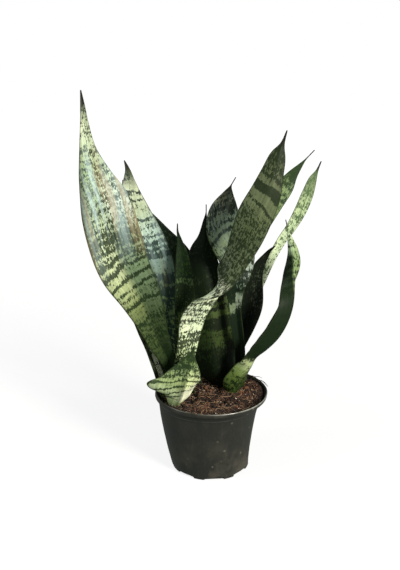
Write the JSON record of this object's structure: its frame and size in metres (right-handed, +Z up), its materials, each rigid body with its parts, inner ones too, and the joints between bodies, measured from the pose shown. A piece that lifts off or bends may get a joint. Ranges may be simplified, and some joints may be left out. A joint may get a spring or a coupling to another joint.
{
  "type": "potted snake plant",
  "caption": "Potted snake plant with upright, channelled, dark-banded leaves, one of them twisted, in a flared black nursery pot of soil.",
  "frame": {"origin": "on the pot's axis, at the middle of the flat underside of its floor, level with the surface it stands on", "axes": "+Z up along the pot's axis, the plant's front towards -Y, the tallest leaf leaning towards -X"},
  "size_m": [0.2346, 0.12, 0.401],
  "materials": {
    "leaf": "smooth waxy leaf, pale grey-green with jagged dark green cross bands, thin dark margin",
    "soil": "loose dark red-brown peat and coir with pale fibres",
    "pot": "matt black moulded plastic with a soft sheen"
  },
  "bodies": {
    "root": {"nursery_pot": "pot", "potting_soil": "soil", "tall_left_leaf": "leaf", "rear_left_leaf": "leaf", "back_left_leaf": "leaf", "narrow_inner_leaf": "leaf", "upright_centre_leaf": "leaf", "spiked_centre_leaf": "leaf", "twisted_front_leaf": "leaf", "rear_right_leaf": "leaf", "arching_right_leaf": "leaf", "curled_right_leaf": "leaf", "dark_right_leaf": "leaf", "short_front_leaf": "leaf", "low_left_leaf": "leaf"}
  },
  "joints": []
}
